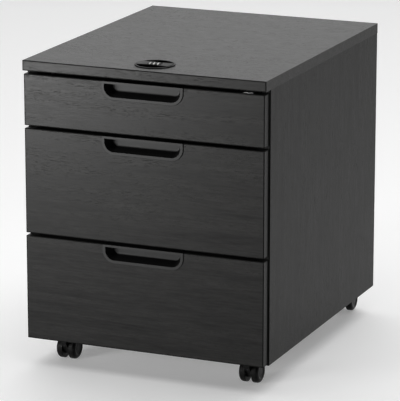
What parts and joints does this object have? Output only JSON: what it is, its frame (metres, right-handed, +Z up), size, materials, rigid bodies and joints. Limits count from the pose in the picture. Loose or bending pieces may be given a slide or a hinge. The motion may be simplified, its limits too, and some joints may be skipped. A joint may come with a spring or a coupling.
{
  "type": "rolling pedestal cabinet",
  "caption": "Under-desk drawer pedestal on castors: drawers with recessed grips on steel runners, closed together by a dial lock in the top.",
  "frame": {"origin": "on the floor, under the centre of the top panel", "axes": "+Z up, drawers open towards -Y, +X to the right seen from the front"},
  "size_m": [0.45, 0.5605, 0.5522],
  "materials": {
    "ash_veneer": "black-stained open-grain ash veneer, satin lacquer",
    "board_foil": "black foil on particleboard",
    "drawer_board": "dark printed fibreboard",
    "drawer_steel": "fine-textured dark powder coat",
    "zinc_steel": "bright zinc plate",
    "grip_plastic": "fine satin moulded plastic",
    "lock_plastic": "black moulded plastic",
    "lock_turn_plastic": "dark grey satin plastic",
    "castor_plastic": "black nylon",
    "castor_wheel": "black nylon, slightly shiny"
  },
  "bodies": {
    "cabinet": {"top_panel": "ash_veneer", "side_panel_left": "ash_veneer", "side_panel_right": "ash_veneer", "bottom_panel": "board_foil", "back_panel": "ash_veneer", "cam_fasteners": "zinc_steel", "drawer_1_rails": "zinc_steel", "drawer_2_rails": "zinc_steel", "drawer_3_rails": "zinc_steel", "rail_screws": "zinc_steel", "castor_plates": "zinc_steel", "castor_screws": "zinc_steel", "lock_housing": "lock_plastic", "lock_nut": "zinc_steel", "lock_guides": "zinc_steel"},
    "lock_turn": {"lock_turn": "lock_turn_plastic", "dial_pin": "zinc_steel", "lock_crank": "zinc_steel"},
    "lock_dial_1": {"lock_dial_1": "lock_plastic"},
    "lock_dial_2": {"lock_dial_2": "lock_plastic"},
    "lock_dial_3": {"lock_dial_3": "lock_plastic"},
    "lock_link": {"lock_link": "zinc_steel"},
    "lock_bar": {"lock_bar": "zinc_steel"},
    "drawer_1": {"drawer_1_front": "ash_veneer", "drawer_1_grip": "grip_plastic", "drawer_1_side_left": "drawer_steel", "drawer_1_side_right": "drawer_steel", "drawer_1_bottom": "drawer_board", "drawer_1_back": "drawer_steel", "drawer_1_catch": "zinc_steel"},
    "drawer_2": {"drawer_2_front": "ash_veneer", "drawer_2_grip": "grip_plastic", "drawer_2_side_left": "drawer_steel", "drawer_2_side_right": "drawer_steel", "drawer_2_bottom": "drawer_board", "drawer_2_back": "drawer_steel", "drawer_2_catch": "zinc_steel"},
    "drawer_3": {"drawer_3_front": "ash_veneer", "drawer_3_grip": "grip_plastic", "drawer_3_side_left": "drawer_steel", "drawer_3_side_right": "drawer_steel", "drawer_3_bottom": "drawer_board", "drawer_3_back": "drawer_steel", "drawer_3_catch": "zinc_steel"},
    "castor_front_left": {"castor_front_left_fork": "castor_plastic", "castor_front_left_axle": "zinc_steel"},
    "castor_front_left_wheel_left": {"castor_front_left_wheel_left": "castor_wheel"},
    "castor_front_left_wheel_right": {"castor_front_left_wheel_right": "castor_wheel"},
    "castor_front_right": {"castor_front_right_fork": "castor_plastic", "castor_front_right_axle": "zinc_steel"},
    "castor_front_right_wheel_left": {"castor_front_right_wheel_left": "castor_wheel"},
    "castor_front_right_wheel_right": {"castor_front_right_wheel_right": "castor_wheel"},
    "castor_rear_left": {"castor_rear_left_fork": "castor_plastic", "castor_rear_left_axle": "zinc_steel"},
    "castor_rear_left_wheel_left": {"castor_rear_left_wheel_left": "castor_wheel"},
    "castor_rear_left_wheel_right": {"castor_rear_left_wheel_right": "castor_wheel"},
    "castor_rear_right": {"castor_rear_right_fork": "castor_plastic", "castor_rear_right_axle": "zinc_steel"},
    "castor_rear_right_wheel_left": {"castor_rear_right_wheel_left": "castor_wheel"},
    "castor_rear_right_wheel_right": {"castor_rear_right_wheel_right": "castor_wheel"}
  },
  "joints": [
    {"name": "drawer_1_slide", "type": "slide", "parent": "cabinet", "child": "drawer_1", "axis": [0, -1, 0], "range_m": [0, 0.38]},
    {"name": "drawer_2_slide", "type": "slide", "parent": "cabinet", "child": "drawer_2", "axis": [0, -1, 0], "range_m": [0, 0.38]},
    {"name": "drawer_3_slide", "type": "slide", "parent": "cabinet", "child": "drawer_3", "axis": [0, -1, 0], "range_m": [0, 0.38]},
    {"name": "lock_turn", "type": "hinge", "parent": "cabinet", "child": "lock_turn", "pos_m": [0, -0.221, 0.548], "axis": [0, 0, -1], "range_deg": [0, 90]},
    {"name": "lock_link_slide", "type": "slide", "parent": "cabinet", "child": "lock_link", "axis": [1, 0, 0], "range_m": [0, 0.01698]},
    {"name": "lock_bar_slide", "type": "slide", "parent": "cabinet", "child": "lock_bar", "axis": [0, 0, 1], "range_m": [0, 0.01001]},
    {"name": "lock_dial_1_spin", "type": "hinge", "parent": "lock_turn", "child": "lock_dial_1", "pos_m": [-0.0074, -0.221, 0.543], "axis": [1, 0, 0], "continuous": true},
    {"name": "lock_dial_2_spin", "type": "hinge", "parent": "lock_turn", "child": "lock_dial_2", "pos_m": [0, -0.221, 0.543], "axis": [1, 0, 0], "continuous": true},
    {"name": "lock_dial_3_spin", "type": "hinge", "parent": "lock_turn", "child": "lock_dial_3", "pos_m": [0.0074, -0.221, 0.543], "axis": [1, 0, 0], "continuous": true},
    {"name": "castor_front_left_swivel", "type": "hinge", "parent": "cabinet", "child": "castor_front_left", "pos_m": [-0.1745, -0.2255, 0.047], "axis": [0, 0, 1], "continuous": true},
    {"name": "castor_front_left_wheel_left_spin", "type": "hinge", "parent": "castor_front_left", "child": "castor_front_left_wheel_left", "pos_m": [-0.1745, -0.2065, 0.02], "axis": [1, 0, 0], "continuous": true},
    {"name": "castor_front_left_wheel_right_spin", "type": "hinge", "parent": "castor_front_left", "child": "castor_front_left_wheel_right", "pos_m": [-0.1745, -0.2065, 0.02], "axis": [1, 0, 0], "continuous": true},
    {"name": "castor_front_right_swivel", "type": "hinge", "parent": "cabinet", "child": "castor_front_right", "pos_m": [0.1745, -0.2255, 0.047], "axis": [0, 0, 1], "continuous": true},
    {"name": "castor_front_right_wheel_left_spin", "type": "hinge", "parent": "castor_front_right", "child": "castor_front_right_wheel_left", "pos_m": [0.1745, -0.2065, 0.02], "axis": [1, 0, 0], "continuous": true},
    {"name": "castor_front_right_wheel_right_spin", "type": "hinge", "parent": "castor_front_right", "child": "castor_front_right_wheel_right", "pos_m": [0.1745, -0.2065, 0.02], "axis": [1, 0, 0], "continuous": true},
    {"name": "castor_rear_left_swivel", "type": "hinge", "parent": "cabinet", "child": "castor_rear_left", "pos_m": [-0.1745, 0.2445, 0.047], "axis": [0, 0, 1], "continuous": true},
    {"name": "castor_rear_left_wheel_left_spin", "type": "hinge", "parent": "castor_rear_left", "child": "castor_rear_left_wheel_left", "pos_m": [-0.1745, 0.2635, 0.02], "axis": [1, 0, 0], "continuous": true},
    {"name": "castor_rear_left_wheel_right_spin", "type": "hinge", "parent": "castor_rear_left", "child": "castor_rear_left_wheel_right", "pos_m": [-0.1745, 0.2635, 0.02], "axis": [1, 0, 0], "continuous": true},
    {"name": "castor_rear_right_swivel", "type": "hinge", "parent": "cabinet", "child": "castor_rear_right", "pos_m": [0.1745, 0.2445, 0.047], "axis": [0, 0, 1], "continuous": true},
    {"name": "castor_rear_right_wheel_left_spin", "type": "hinge", "parent": "castor_rear_right", "child": "castor_rear_right_wheel_left", "pos_m": [0.1745, 0.2635, 0.02], "axis": [1, 0, 0], "continuous": true},
    {"name": "castor_rear_right_wheel_right_spin", "type": "hinge", "parent": "castor_rear_right", "child": "castor_rear_right_wheel_right", "pos_m": [0.1745, 0.2635, 0.02], "axis": [1, 0, 0], "continuous": true}
  ],
  "couplings": [
    {"joint": "lock_link_slide", "follows": "lock_turn", "m_per_rad": 0.010804},
    {"joint": "lock_bar_slide", "follows": "lock_turn", "m_per_rad": 0.0063662}
  ]
}
